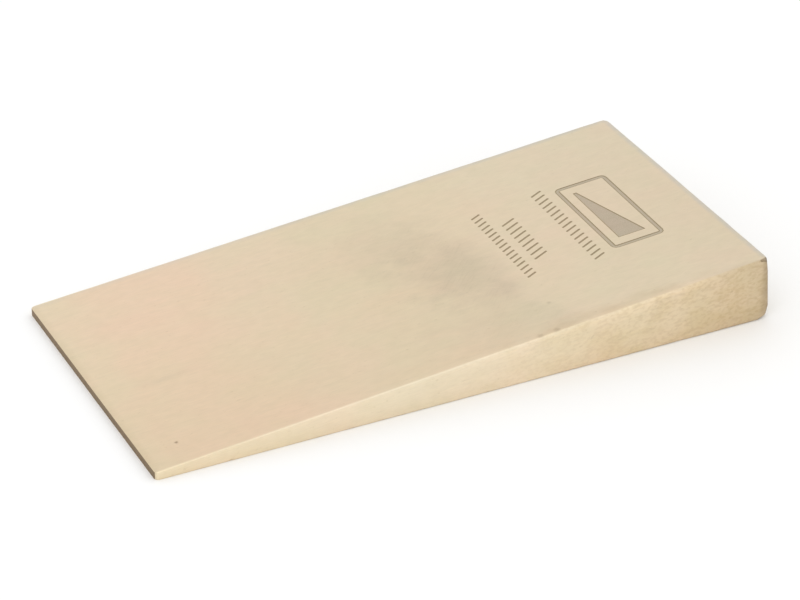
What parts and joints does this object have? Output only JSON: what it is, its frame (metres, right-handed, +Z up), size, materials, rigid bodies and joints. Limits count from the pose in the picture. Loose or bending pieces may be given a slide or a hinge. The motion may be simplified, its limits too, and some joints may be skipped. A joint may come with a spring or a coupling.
{
  "type": "wedge",
  "caption": "Solid ground bronze hand wedge: flat base, flat sloped face rising from a thin blunt tip to a thick square end that is struck to part a joint.",
  "frame": {"origin": "middle of the flat base, on the surface that the wedge lies on", "axes": "+X from the thin tip towards the thick struck end, +Y across the width, +Z up from the base"},
  "size_m": [0.1, 0.05, 0.0107],
  "materials": {
    "ground_bronze": "aluminium bronze, belt ground and satin brushed along its length, with frosted laser marks on the sloped face"
  },
  "bodies": {
    "root": {"wedge_body": "ground_bronze"}
  },
  "joints": []
}
